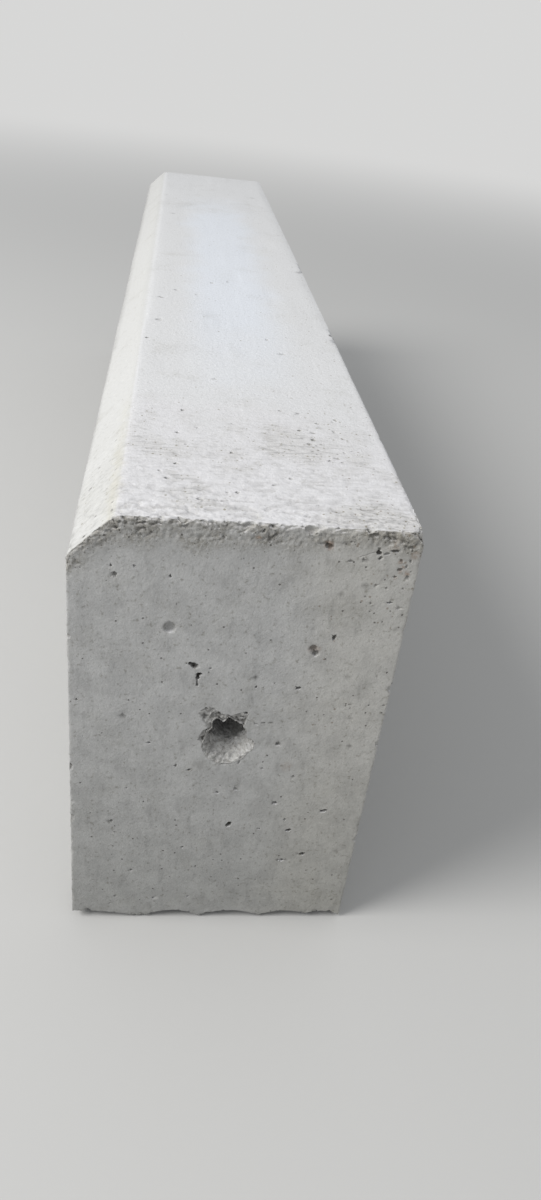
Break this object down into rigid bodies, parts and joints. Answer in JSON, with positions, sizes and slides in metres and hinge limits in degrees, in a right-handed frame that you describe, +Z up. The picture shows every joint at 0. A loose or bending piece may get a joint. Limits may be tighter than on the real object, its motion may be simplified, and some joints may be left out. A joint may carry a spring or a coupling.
{
  "type": "concrete kerb stone",
  "caption": "Straight precast concrete kerb stone with a chamfered road edge and a blind lifting hole in each end.",
  "frame": {"origin": "middle of the bed, the face that the stone stands on", "axes": "+Z up, +Y along the stone away from the end with the broken lifting hole, +X across it away from the chamfered road edge"},
  "size_m": [0.15, 1, 0.25],
  "materials": {
    "concrete": "cast concrete, matte, with air holes and a pale dusty top"
  },
  "bodies": {
    "root": {"kerb_stone": "concrete"}
  },
  "joints": []
}
